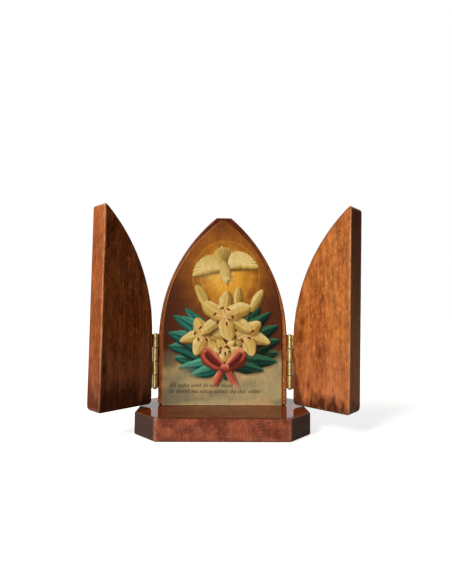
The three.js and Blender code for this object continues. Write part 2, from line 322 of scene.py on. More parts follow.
def worn_and_highlit_arrises(colour, figure, pale_wood, share):
    """Shows pale wood in a broken line along the arrises: bare wood where handling has rubbed the stain
    off, and partly a painted highlight.
    """
    worn_and_lit = node("Attribute", attribute_name="rub_and_highlight")
    patchy = node("MapRange", {
        "Value": figure["dashes"], "From Min": 0.62, "From Max": 0.38, "To Min": 0.25, "To Max": share,
    })
    worn_and_lit_share = node("Math", {0: worn_and_lit.outputs["Fac"], 1: patchy}, operation="MULTIPLY")
    return node("Mix", {0: worn_and_lit_share, 6: colour, 7: pale_wood}, data_type="RGBA")


def varnish(colour, figure, gloss_roughness, weight):
    """Clear varnish over the wood: it fills the pores, so the gloss only hints at the grain."""
    ripple = node("Bump", {"Strength": 0.3, "Distance": 0.00003, "Height": figure["streaks"]})
    sunk = node("Bump", {"Strength": 0.4, "Distance": 0.00006, "Height": figure["pores"]})
    plug(tree.nodes["Principled BSDF"], {
        "Base Color": colour, "Roughness": 0.6, "Specular IOR Level": 0.0, "Normal": sunk,
        "Coat Weight": weight, "Coat Roughness": gloss_roughness, "Coat IOR": 1.5, "Coat Normal": ripple,
    })


low, high = (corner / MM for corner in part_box("base"))
base = bmesh.new()
bmesh.ops.create_grid(base, x_segments=1, y_segments=1, size=1)
stretch(base, high.x, high.y, 1)
for side_x in (-1, 1):
    for side_y in (-1, 1):
        bmesh.ops.bisect_plane(
            base, geom=base.verts[:] + base.edges[:] + base.faces[:],
            plane_co=(side_x * (high.x - BASE_CHAMFER_X), side_y * high.y, 0),
            plane_no=(side_x * BASE_CHAMFER_Y, side_y * BASE_CHAMFER_X, 0), clear_outer=True,
        )
bmesh.ops.delete(base, geom=base.faces[:], context="FACES_ONLY")
round_off(base, base.verts[:], "VERTICES", CORNER_ROUND * math.tan(SAWN_CORNER_TURN / 2), 3)
rub_and_highlight = sanded_board(base, high.z - low.z, wear=0.06)
for vert in base.verts:
    from_corner = math.hypot(abs(vert.co.x) - high.x + BASE_CHAMFER_X, abs(vert.co.y) - high.y)
    vert[rub_and_highlight] *= max(1 - from_corner / PALE_ARRIS_REACH, LONG_ARRIS_PALE)

# Stained cedar under a thick gloss varnish: a deep red-brown mirror on top, scuffed paler and
# pinker on the front where it is handled, and nearly black where the sawn corners cut the grain.
base_wood, tree = new_material("stained cedar, thick gloss varnish")
_, colour, figure = cedar(
    place=(0, 0, 0), turn=(0, radians(90), 0),
    tones=("#5c260f", "#6e3014", "#82401f", "#371308"), seed=1,
)
# Fibre ends and scuffs on the front: fine upright threads 0.45 mm wide and thin level scratches.
front = tone_over("#70382a", "#96513a", speckle((4.762, 4.762, 3.846), 3), 0.36, 0.64)
front = varied(front, speckle((0.4545, 0.4545, 2.381), 2), 0.34, 0.66, 0.74, 1.24)
scratches = speckle((3.846, 1.25, 0.3846), 1, turn=(0, radians(7), 0))
front = tone_over(front, "#b87a58", scratches, 0.62, 0.74, 0.45)
facing = node("SeparateXYZ", {0: node("TexCoord").outputs["Normal"]})
square_on = node("Math", {0: facing.outputs["Y"]}, operation="ABSOLUTE")
colour = tone_over(colour, front, square_on, 0.7, 0.95)
# Darker along the top front arris.
on_top = node("Math", {0: facing.outputs["Z"], 1: square_on}, operation="MULTIPLY")
colour = tone_over(colour, "#34140c", on_top, 0.15, 0.42, 0.7)
colour = soaked_ends(colour, "X", "#41302e", 0.96)
# Painted fill light: the faces turned to the right, away from the key light, are drawn in a lighter tone
# than the rest of the soaked end grain.
colour = tone_over(colour, "#644c48", facing.outputs["X"], 0.4, 0.7, 0.9)
# Pale broken lines on the arrises, worn wood and partly a painted highlight, brightest down the upright
# corners.
colour = worn_and_highlit_arrises(colour, figure, "#c08a70", 0.6)
varnish(colour, figure, gloss_roughness=0.06, weight=0.6)
place_piece(base, "base_board", base_wood, "stand", ["base"])


# ---- Centre panel ----
# A lancet-shaped board of the same cedar with its grain upright, its point cut off flat. It stands
# near the middle of the base, glued on its foot, and wears the same stain and varnish.
SPRING_HEIGHT = 31  # the sides run straight up to here and then curve inwards
PANEL_HALF_TIP = 3.5
PANEL_DARK_BAND = (50, 6)  # the stain darkens upwards between these distances below the tip
ARC_STEPS = 52


def arc_radius(half_width, half_tip, rise):
    """The radius of a lancet's side, which leaves its upright part without a bend."""
    inward = half_width - half_tip
    return (inward * inward + rise * rise) / (2 * inward)


def lancet_side(bm, half_width, half_tip, top, end_short=0.0):
    """One side of a lancet from foot to tip, right of the middle line. Returns its end vertices."""
    rise = top - SPRING_HEIGHT
    radius = arc_radius(half_width, half_tip, rise)
    sweep = math.asin(rise / radius) - end_short / radius
    foot = bm.verts.new((half_width, 0, 0))
    spring = bm.verts.new((half_width, SPRING_HEIGHT, 0))
    bm.edges.new((foot, spring))
    arc = bmesh.ops.spin(
        bm, geom=[spring], cent=(half_width - radius, SPRING_HEIGHT, 0), axis=(0, 0, 1), angle=sweep,
        steps=ARC_STEPS,
    )["geom_last"]
    return foot, arc[0]


def round_corner(bm, vert, radius, angle=90):
    """Rounds one corner of an outline; angle is the inside angle there, in degrees."""
    round_off(bm, [vert], "VERTICES", radius / math.tan(radians(angle / 2)), 5)


def stand_up(bm, back, foot):
    """Turns a board worked flat so that it stands on foot, with its thickness in front of back."""
    upright = Matrix.Rotation(radians(90), 3, "X")
    bmesh.ops.rotate(bm, cent=(0, 0, 0), matrix=upright, verts=bm.verts[:])
    shift(bm, 0, back, foot)


low, high = (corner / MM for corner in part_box("centre_panel"))
panel = bmesh.new()
right_foot, right_tip = lancet_side(panel, high.x, PANEL_HALF_TIP, high.z - low.z)
bmesh.ops.mirror(panel, geom=panel.verts[:] + panel.edges[:], axis="X", merge_dist=0.001)
left_foot = min(panel.verts, key=lambda vert: (vert.co.y, vert.co.x))
left_tip = min((v for v in panel.verts if v.co.y > right_tip.co.y - 1e-4), key=lambda v: v.co.x)
panel.edges.new((left_foot, right_foot))
panel.edges.new((left_tip, right_tip))
for foot in (left_foot, right_foot):
    round_corner(panel, foot, CORNER_ROUND)
sanded_board(panel, high.y - low.y, wear=0.06)
stand_up(panel, high.y, low.z)
# Stained cedar under satin varnish, a little redder than the wings: only a border of it shows
# round the print, with an orange line along the arris, partly sanded through and partly a painted
# highlight.
panel_wood, tree = new_material("stained cedar, panel")
board, colour, figure = cedar(
    place=(0, 0, 0), turn=(0, 0, 0), tones=("#8e4822", "#a86232", "#be7c48", "#501e0e"), seed=2,
)
up = node("SeparateXYZ", {0: board}).outputs["Z"]
dark_from, dark_to = (high.z - below_tip for below_tip in PANEL_DARK_BAND)
colour = tone_over(colour, "#3a1209", up, dark_from, dark_to, 0.85)
colour = soaked_ends(colour, "Z", "#3c170c", 0.9)
colour = worn_and_highlit_arrises(colour, figure, "#a85a30", 0.35)
varnish(colour, figure, gloss_roughness=0.34, weight=0.18)
place_piece(panel, "panel_board", panel_wood, "stand", ["centre_panel"])


# ---- Picture ----
# A colour print on thin paper, cut a little fuller than the panel's own arch so that its border
# narrows upwards, pasted on its front a hair to the left of the middle and varnished with it.
PRINT_HALF_TIP = 1.2
PRINT_SPRING = 35  # its arcs spring higher than the panel's
PRINT_CELLS = (230, 350)
low, high = (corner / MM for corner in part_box("picture_print"))
print_middle = (low.x + high.x) / 2
print_reach = (high.x - low.x) / 2
print_radius = arc_radius(print_reach, PRINT_HALF_TIP, high.z - low.z - PRINT_SPRING)
sheet = bmesh.new()
bmesh.ops.create_grid(sheet, x_segments=PRINT_CELLS[0], y_segments=PRINT_CELLS[1], size=1)
for vert in sheet.verts:
    height = (vert.co.y + 1) / 2 * (high.z - low.z)
    above = max(0, height - PRINT_SPRING)
    reach = print_reach - print_radius + math.sqrt(print_radius * print_radius - above * above)
    vert.co = (print_middle + vert.co.x * reach, low.y, low.z + height)
rim = [e for e in sheet.edges if e.is_boundary]
grown = bmesh.ops.extrude_edge_only(sheet, edges=rim)["geom"]
behind = [v for v in grown if isinstance(v, bmesh.types.BMVert)]
bmesh.ops.translate(sheet, vec=(0, high.y - low.y, 0), verts=behind)
back_rim = [e for e in grown if isinstance(e, bmesh.types.BMEdge) and e.is_boundary]
bmesh.ops.contextual_create(sheet, geom=back_rim)

# Offset-printed paper under clear varnish: matt inks, a faint laid texture and a soft gloss.
paper, tree = new_material("varnished colour print")
printed = node("Attribute", attribute_name="ink")
# Laid lines about 0.45 mm apart, drawn coarser than real paper's so that they show.
fibre = speckle((0.4545, 0.4545, 0.4545), 2)
toned = varied(printed.outputs["Color"], fibre, 0.3, 0.7, 0.9, 1.08)
raised = node("Bump", {"Strength": 0.12, "Distance": 0.0001, "Height": fibre})
plug(tree.nodes["Principled BSDF"], {
    "Base Color": toned, "Roughness": 0.7, "Specular IOR Level": 0.0, "Normal": raised,
    "Coat Weight": 0.35, "Coat Roughness": 0.12,
})
piece = place_piece(sheet, "paper_print", paper, "stand", ["picture_print"])

# The printed design is laid on in inks, like a painting, from the ground up: a glory of light, a
# cloud bank, leaves, lilies, a ribbon, a dove, and two rows of plain ticks.
places = np.empty(len(piece.data.vertices) * 3)
piece.data.vertices.foreach_get("co", places)
places = places.reshape(-1, 3) / MM
X = places[:, 0] - print_middle
Z = places[:, 2] - low.z
SOFT = 0.2  # how far a printed edge blurs, in mm
INKS = {name: np.array(linear(tone)[:3]) for name, tone in {
    "sienna": "#8a4f24", "ground": "#5e331f", "umber": "#3c1d14", "amber": "#b87322",
    "gold": "#e8ac3a", "cream": "#c2a257", "pale": "#dcc688", "ochre": "#93702f", "olive": "#5f4a20",
    "peach": "#d59a60", "flesh": "#c47a44",
    "teal": "#276c5e", "lagoon": "#5ba48e", "deep_teal": "#0c2c2a",
    "green": "#163c30", "moss": "#35684c", "deep_green": "#081812",
    "rose": "#a44a36", "blush": "#d58868", "wine": "#541c18",
    "cloud": "#9f916b", "dawn": "#c6a470", "haze": "#8b8064", "shade": "#7c745c", "ink": "#221a10",
    "paper": "#d8bf92", "anther": "#9a4a18", "throat": "#8f8c3c", "cut": "#8f5430", "lit_cut": "#cc8654",
}.items()}
dice = np.random.default_rng(11)
canvas = np.empty((len(X), 3))
canvas[:] = INKS["ground"]


def ease(value):
    """Rises softly from 0 to 1."""
    value = np.clip(value, 0, 1)
    return value * value * (3 - 2 * value)


def mottle(size, tall=1.0):
    """Soft seeded noise from 0 to 1 with blots of about size mm, tall times as high."""
    x, z = (X + 60) / size, (Z + 60) / (size * tall)
    lattice = dice.random((int(x.max()) + 3, int(z.max()) + 3))
    i, k = x.astype(int), z.astype(int)
    u, w = ease(x - i), ease(z - k)
    under = lattice[i, k] * (1 - u) + lattice[i + 1, k] * u
    over = lattice[i, k + 1] * (1 - u) + lattice[i + 1, k + 1] * u
    return under * (1 - w) + over * w


def lay(mask, ink):
    """Lays an ink, or an array of colours, over the canvas where mask is 1."""
    colour = INKS[ink] if isinstance(ink, str) else ink
    canvas[:] += mask[:, None] * (colour - canvas)


def blend(share, first, second):
    """Colours between two inks, or two arrays of colours, by share."""
    first, second = (INKS[ink] if isinstance(ink, str) else ink for ink in (first, second))
    return first + np.clip(share, 0, 1)[:, None] * (second - first)


LIGHT = (-0.6, 0.8)  # where the painted light comes from
SHADOW_SHIFT = (0.45, -0.7)
SHADOW_BLUR = 1.5


def blade(x, z, angle, length, width, bend, tones, shape=(0.7, 0.9), crease=0.0, streaks=0.0,
          wave=0.0, shadow=0.0):
    """One petal, leaf or feather from its root at x, z; tones are its shade, body and light inks.
    crease darkens or lights its middle line, wave ripples its edge, shadow is what it casts."""
    turn = radians(angle)
    cos, sin = math.cos(turn), math.sin(turn)
    root, tip = shape
    peak = root / (root + tip)

    def outline(dx, dz):
        along = ((X - x - dx) * cos + (Z - z - dz) * sin) / length
        run = np.clip(along, 1e-4, 1 - 1e-4)
        aside = (Z - z - dz) * cos - (X - x - dx) * sin - bend * length * run * run
        half = width / 2 * run ** root * (1 - run) ** tip / (peak ** root * (1 - peak) ** tip)
        half *= 1 + wave * np.sin(run * 13 + x + 3 * np.sign(aside))
        return (along > 0) & (along < 1), run, aside, half

    if shadow:
        inside, run, aside, half = outline(*SHADOW_SHIFT)
        lay(shadow * inside * ease((half - np.abs(aside)) / SHADOW_BLUR + 0.6), "umber")
    inside, run, aside, half = outline(0, 0)
    across = np.clip(aside / np.maximum(half, 1e-3), -1, 1)
    mask = ease((half - np.abs(aside)) / SOFT + 0.5) * inside
    slope = turn + math.atan(bend)
    lit = LIGHT[0] * -math.sin(slope) + LIGHT[1] * math.cos(slope)
    shade = 0.5 + 0.62 * across * lit + 0.07 * streaks * np.cos(across * 9 + run * 3)
    shade -= 0.3 * ease((np.abs(across) - 0.75) / 0.25) * (across * lit < 0)
    shade += 0.12 * (run - 0.5) + crease * np.exp(-(across / 0.16) ** 2)
    shadow_ink, body, high = tones
    dark = blend(shade * 2, shadow_ink, body)
    bright = blend(shade * 2 - 1, body, high)
    lay(mask, np.where((shade < 0.5)[:, None], dark, bright))
    return mask, run, across


# The ground: burnt sienna at the top that falls to umber, with a glory of light round the dove.
lay(ease((Z - 52) / 26) * 0.85, "sienna")
lay(ease(np.abs(X) / 24 - 0.3) * ease((74 - Z) / 30) * 0.5, "umber")
lay(ease((1 - np.hypot(X / 9, (Z - 84) / 8)) * 1.2) * 0.3, "umber")
GLORY = (1.5, 61.0)  # its middle
dx, dz = X - GLORY[0], Z - GLORY[1]
away = np.hypot(dx, dz * 0.94)
spokes = 0.5 + 0.5 * np.cos(np.arctan2(dz, dx) * 16 + 0.9 * np.sin(np.arctan2(dz, dx) * 5))
lay(ease(1.05 - away / (24 + 2.5 * spokes)) * 0.9, "amber")
lay(ease(1.0 - away / (16.5 + 1.6 * spokes)) * 0.9, "gold")
for ring in (12.2, 15.8):
    lay(0.22 * np.exp(-((away - ring) / 0.35) ** 2), "gold")
lay(0.22 * ease(mottle(2.6, 1.4) * 1.6 - 0.5), "ground")

# The cloud bank: broad soft billows, warm where the light catches them, with a few large soft
# patches that are warmer or duller.
billow = 0.62 * mottle(13, 0.5) + 0.28 * mottle(6, 0.55) + 0.1 * mottle(2.2, 0.8)
crest = 19 + 2.5 * np.cos(X / 8.5 + 1.5) + 2.5 * (X / 29) ** 2
bank = ease((crest - Z) / 9 + (billow - 0.5) * 1.6 + 0.5)
lay(bank * 0.97, blend(ease(billow * 1.9 - 0.35), "haze", "cloud"))
lift = 0.65 * mottle(15, 0.42) + 0.25 * mottle(6, 0.5) + 0.1 * mottle(2.5, 0.8)
lay(bank * ease(lift * 2.2 - 0.6) * ease((Z - 7) / 9) * 0.85, "dawn")
for x, z, wide, tall, share, ink_name in (
    (-25, 22, 8, 5, 0.35, "haze"), (-14, 17, 11, 4.5, 0.6, "dawn"), (24, 21, 8, 6, 0.55, "haze"),
    (12, 15, 10, 4, 0.5, "dawn"), (2, 13, 8, 4, 0.75, "shade"), (-26, 6, 9, 6, 0.4, "shade"),
    (22, 8, 11, 5, 0.6, "dawn"), (-8, 4, 12, 4, 0.35, "dawn"),
):
    off = np.hypot((X - x) / wide, (Z - z) / tall) + 0.5 * (billow - 0.5)
    lay(ease(1.15 - off) * share, ink_name)

TEAL = ("deep_teal", "teal", "lagoon")
GREEN = ("deep_green", "green", "moss")
CREAM = ("ochre", "cream", "pale")
SHADED = ("olive", "cream", "pale")
ROSE = ("wine", "rose", "blush")
LEAF = {"shape": (0.5, 0.8), "crease": -0.3, "streaks": 1.6, "wave": 0.05, "shadow": 0.55}

# Deep green leaves on the right and teal ones on the left, then the stems.
RIGHT_LEAVES = (
    (6, 24, 74, 25, 8, -0.22), (5, 20, 18, 22, 8.5, -0.10), (4, 21, 32, 25, 10, -0.16),
    (4, 22, 46, 27, 10, -0.20), (4, 24, 60, 27, 9, -0.24), (5, 20, 4, 21, 7.5, -0.04),
    (4, 19, -12, 16, 6, 0.04),
)
LEFT_LEAVES = (
    (-3, 24, 112, 26, 8, 0.22), (-1, 20, 172, 22, 8.5, 0.05), (-1, 22, 158, 25, 10, 0.16),
    (0, 22, 143, 28, 10.5, 0.22), (0, 24, 128, 29, 9.5, 0.26), (-1, 19, 187, 20, 7.5, -0.04),
    (-1, 18, 202, 15, 6, -0.10),
)
for tones, leaves in ((GREEN, RIGHT_LEAVES), (TEAL, LEFT_LEAVES)):
    for leaf in leaves:
        blade(*leaf, tones, **LEAF)
for x, lean, tall in ((-1.0, 103, 26), (1.0, 92, 30), (2.8, 82, 24), (1.8, 97, 22), (3.6, 75, 20)):
    blade(x, 12, lean, tall, 1.6, 0.02, GREEN, shape=(0.12, 0.12), shadow=0.4)


def lily(x, z, size, tilt, squash, first):
    """An open lily: three back petals, three front petals, a green throat and six anthers."""
    lean = radians(tilt)
    for ring, scale in ((0, 1.0), (1, 0.93)):
        for k in range(3):
            spread = radians(first + ring * 60 + k * 120)
            over, up = math.cos(spread), math.sin(spread) * squash
            px = over * math.cos(lean) - up * math.sin(lean)
            pz = over * math.sin(lean) + up * math.cos(lean)
            mask, run, across = blade(
                x, z, math.degrees(math.atan2(pz, px)), size * scale * math.hypot(px, pz),
                size * (0.52 if ring else 0.46), 0.12 * (1 if k % 2 else -1),
                CREAM if ring else SHADED, shape=(0.62, 0.66), crease=0.14, streaks=1.6, wave=0.07,
                shadow=0.6,
            )
            lay(mask * ease(0.55 - run) * 1.1, "peach")
            lay(mask * ease(0.28 - run) * 1.6, "flesh")
            lay(mask * 0.4 * np.exp(-(across / 0.07) ** 2) * ease(1.1 - run * 1.4), "ochre")
    throat = np.hypot(X - x, (Z - z) / max(squash, 0.5))
    lay(ease(1 - throat / (size * 0.15)) * 0.85, "throat")
    for k in range(6):
        spread = radians(first + 20 + k * 60)
        over, up = math.cos(spread) * size * 0.34, math.sin(spread) * size * 0.34 * squash
        blade(
            x, z, math.degrees(math.atan2(up, over)), math.hypot(over, up), 0.5, 0.03,
            ("ochre", "pale", "pale"), shape=(0.1, 0.1),
        )
        blade(
            x + over - 0.8, z + up - 0.25, 20 + 25 * k, 2.0, 1.0, 0.1, ("wine", "wine", "anther"),
            shape=(0.4, 0.4),
        )


for x, z, way, length, width, bend in (
    (-7.5, 46, 112, 12, 4.6, 0.06), (13.5, 44, 66, 12, 4.6, -0.06), (6.5, 47, 82, 9, 3.8, 0.03),
):
    stalk = (x - 7 * math.cos(radians(way)), z - 7 * math.sin(radians(way)))
    blade(*stalk, way, 10, 1.3, 0.0, GREEN, shape=(0.1, 0.1))
    blade(
        x, z, way, length, width, bend, SHADED, shape=(0.55, 0.55), crease=-0.2,
        streaks=1.4, shadow=0.5,
    )
lily(10.6, 33.0, 12.5, -20, 0.80, first=12)
lily(-8.4, 33.0, 12.5, 24, 0.78, first=40)
lily(1.2, 41.6, 14.5, 4, 0.86, first=90)
lily(2.0, 25.4, 9.0, -8, 0.66, first=75)

# A rose ribbon: two loops with their dark insides, a knot and two tails.
RIBBON = {"streaks": 1.8, "wave": 0.05, "shadow": 0.5}
blade(0.6, 17.5, 236, 13, 3.8, 0.20, ROSE, shape=(0.25, 0.12), **RIBBON)
blade(1.4, 17.5, -52, 14, 3.8, -0.22, ROSE, shape=(0.25, 0.12), **RIBBON)
for way, length, bend in ((156, 13, -0.20), (26, 12, 0.20)):
    blade(1.0, 17.6, way, length, 8.0, bend, ROSE, shape=(0.6, 0.28), **RIBBON)
    blade(
        1.0, 17.6, way, length * 0.86, 3.6, bend * 1.3, ("wine", "wine", "rose"), shape=(0.8, 0.3),
        streaks=1.0,
    )
blade(-1.0, 17.4, 0, 4.2, 3.8, 0.0, ROSE, shape=(0.35, 0.35), streaks=1.0, shadow=0.5)

# A veil of cloud drifts over the foot of the stems.
rising = 13.5 + 1.5 * np.sin(X / 4.0) + 4.5 * ease((np.abs(X - 1) - 5) / 10)
veil = ease((rising - Z) / 8 + (mottle(7, 0.6) - 0.5) * 1.0)
lay(veil * 0.9, blend(ease(mottle(12, 0.45) * 2.2 - 0.6), "shade", "cloud"))
lay(veil * 0.55 * ease(mottle(10, 0.5) * 2.4 - 0.9), "dawn")


def dove(x, z, lean):
    """A dove that comes down with spread wings: tail, three rows of feathers a side, body, head."""
    cos, sin = math.cos(radians(lean)), math.sin(radians(lean))

    def at(over, up):
        return x + over * cos - up * sin, z + over * sin + up * cos

    for k in range(7):
        fan = (k - 3) * 9
        blade(
            *at(0, 1.5), 90 + lean + fan, 10.5 - abs(k - 3) * 0.5, 2.3, 0.0, SHADED,
            shape=(0.8, 0.25), streaks=0.5, shadow=0.35,
        )
    rows = ((9, 4, 66, 14.5, 9.0, 2.9), (8, 8, 62, 10.0, 6.5, 2.7), (6, 12, 56, 6.4, 4.4, 2.4))
    for side in (1, -1):
        for row, (count, first, last, long, short, wide) in enumerate(rows):
            for k in range(count):
                share = k / (count - 1)
                fan = last + (first - last) * share
                blade(
                    *at(side * 1.2, 0.4 + row * 0.2), 90 + lean - side * (90 - fan),
                    short + (long - short) * share ** 0.8, wide, -side * 0.10,
                    (SHADED, CREAM, CREAM)[row], shape=(0.75, 0.22), streaks=0.4, crease=0.05,
                    shadow=0.3,
                )
    blade(*at(0, 5.0), -90 + lean, 10.4, 5.2, 0.0, SHADED, shape=(0.6, 0.5), crease=0.12, shadow=0.5)
    over, up = at(0.1, -4.6)
    head = np.hypot(X - over, Z - up)
    lay(ease((1.85 - head) / SOFT), blend(0.5 + (over - X) / 4 + (Z - up) / 4, "ochre", "pale"))
    blade(*at(0.25, -5.9), -82 + lean, 1.9, 1.0, 0.0, ("wine", "anther", "peach"), shape=(0.2, 0.8))
    over, up = at(0.85, -4.9)
    lay(ease((0.35 - np.hypot(X - over, Z - up)) / SOFT + 0.5), "ink")


dove(1.0, 63.5, 8)
lay(ease(1 - np.hypot((X + 3) / 1.3, Z - 62) / 10) * 0.22, "pale")

# Where the real print has a caption: two rows of slanted ticks.
TICK_HEIGHTS = (1.2, 1.2, 1.85)
TICK_LEAN = 0.3
TICK_STEP = 0.78
TICK_GAP = 0.8
TICK_HALF_WIDTH = 0.19
TICK_BLUR = 0.14
for height, first, last in ((8.4, -24.6, 3.6), (5.6, -24.6, 14.6)):
    place = first
    while place < last:
        for _ in range(int(dice.integers(3, 9))):
            up = (Z - height) / TICK_HEIGHTS[int(dice.integers(0, len(TICK_HEIGHTS)))]
            off = X - place - TICK_LEAN * (Z - height)
            stroke = ease((TICK_HALF_WIDTH - np.abs(off)) / TICK_BLUR + 0.5)
            lay(stroke * (up > 0) * (up < 1) * 0.9, "ink")
            place += TICK_STEP
        place += TICK_GAP

# Press grain; the paper's paler cut edge at its foot and a pale line down its left cut edge, both partly
# painted highlight where the edge catches the light; a darker line down its right edge; and its sides,
# stained by the varnish.
canvas *= (0.9 + 0.2 * mottle(0.9, 1.6))[:, None]
canvas *= (0.94 + 0.12 * mottle(2.2, 2.0))[:, None]
lay(ease((0.3 - Z) / 0.2 + 0.5) * 0.5, "paper")
above = np.maximum(0, Z - PRINT_SPRING)
reach = print_reach - print_radius + np.sqrt(np.maximum(print_radius ** 2 - above ** 2, 0))
# Painted highlight: the left cut edge is drawn light, more so higher up, as if it caught the light.
lay(ease((0.32 - (X + reach)) / 0.25 + 0.5) * (0.3 + 0.5 * ease((Z - 30) / 20)), "lit_cut")
lay(ease((0.3 - (reach - X)) / 0.25 + 0.5) * 0.6, "umber")
sides = places[:, 1] > low.y + 0.01
canvas[sides] = blend(ease((40 - Z[sides]) / 30), "cut", "paper")
ink = piece.data.color_attributes.new("ink", "FLOAT_COLOR", "POINT")
ink.data.foreach_set("color", np.column_stack([canvas, np.ones(len(canvas))]).ravel())


# ---- Wings ----
# Two half-lancet boards that meet over the picture when shut. They are sawn from the same stock,
# with their grain upright, and run out almost to a point at their free edges.
WING_HALF_TIP = 1.1
WING_TIP_ROUND = 0.85
WING_TIP_ANGLE = 54
WING_HEEL_ROUND = 1.9  # bottom corner at the hinge
WING_TIP_SHORT = 2.0  # the free edge cuts the arc off by this much before its end
WING_EDGE = 1.3  # from the hinge axis to a wing's near edge
NEAR_EDGE_BAND = 3  # what lies this close to the near edge is eased upright
WING_WIDTH = 30.2
WING_HEIGHTS = {"left": 89, "right": 90.1}
WING_THICKNESS = {"left": 8.6, "right": 9.6}
WING_LEANS = {"left": 0.8, "right": 1.0}  # degrees anticlockwise when shut
WING_LIFT = 0.7  # the wings clear the base by this much
HINGE_MIDDLE = 30.6  # height above the ground
STRAIGHT_TOP = 33  # a wing's near edge is upright to here and eases into its lean from here
EASED_TOP = 46
AXIS_FORWARD = 0.45  # a shut wing's inner face lies this far in front of the hinge axis
SIDES = {"left": -1, "right": 1}
WING_TONES = {
    "left": ("#843c19", "#a4602e", "#c07c48", "#42180a"),
    "right": ("#95501f", "#b06a31", "#cb8f5c", "#66290d"),
}
WING_GRAIN = {"left": (1.9, 0.75), "right": (0.85, 0.5)}  # how strong its streaks and flecks are
WING_SOAK = {"left": 0.75, "right": 0.9}  # how dark the stain has gone at the foot
SOAK_LEANS = {"left": -0.35, "right": 0.3}  # how much less of it there is towards the free edge
WING_PAINTED_REFLECTIONS = {"left": ("#b07c62", 0.7), "right": ("#c4866a", 0.3)}  # a painted reflection in the varnish, pale and patchy low on the board
REFLECTION_BAND = (36, 6)  # the painted reflection grows downwards between these heights above a wing's foot
SOAK_BAND = (14, 1)  # and the soaked-in stain between these
# Painted light and shade on the free edge, at its foot and at its tip: a colour and how much of it.
# The left edge is drawn dark at the foot and bright at the tip, a painted light falloff; the right edge,
# turned away from the light, is drawn dark, a painted shade, with a paler painted reflection at its
# foot.
EDGE_PAINTED_LIGHT = {
    "left": (("#501c08", 0.42), ("#c06830", 0.3)), "right": (("#8c6a58", 0.25), ("#341000", 0.75)),
}
WING_PAINTED_FALLOFF = {"left": ("#f4e6e2", "#ffffff"), "right": ("#f2e6e0", "#ffffff")}  # painted light falloff, darker at the foot: tints at the foot and at the tip
CORNER_PULL = 1.2  # the free edge's outer corners are sanded back by up to this much
CORNER_REACH = 3.5
PALEST_FROM = 30  # the free edge's inner arris is palest from this height up
FOOT_PALE = 0.45  # by this share of it at its foot
OTHER_PALE = 0.3  # and the other arrises by this share
PALE_LINE_POWER = 1.7  # more keeps the pale line narrower
# Small dark knots: from the hinge edge, height above the ground, and half size across and up.
KNOTS = {
    "left": [(13, 62, 0.8, 3.0)],
    "right": [
        (5.8, 49.5, 1.7, 2.4), (4.8, 42.5, 2.0, 3.0), (17, 60.5, 0.6, 2.0), (5, 62, 0.6, 2.4),
        (15, 35, 0.9, 2.0), (9, 21, 0.9, 2.6),
    ],
}
RIM_BAND = 2.6  # the colour is darker this far in from the curved edge
RIM_DARK = 0.85
joints = {joint["name"]: joint for joint in frame["joints"]}


def put_on_axis(bm, joint):
    """Moves what was worked with the hinge axis at the origin to where that axis stands."""
    x, y, _ = joint["pos_m"]
    shift(bm, x / MM, y / MM, 0)


def open_out(bm, side, joint):
    """Swings what was worked shut, with the hinge axis at the origin, out to where it stands."""
    turn = Matrix.Rotation(side * radians(joint["range_deg"][1]), 3, "Z")
    bmesh.ops.rotate(bm, cent=(0, 0, 0), matrix=turn, verts=bm.verts[:])
    put_on_axis(bm, joint)


def distance(board, centre, scale):
    """How far a point of a board is from centre, with each axis scaled."""
    spoke = node("VectorMath", {0: board, 1: centre}, operation="SUBTRACT")
    scaled = node("VectorMath", {0: spoke, 1: scale}, operation="MULTIPLY")
    return node("VectorMath", {0: scaled}, operation="LENGTH")


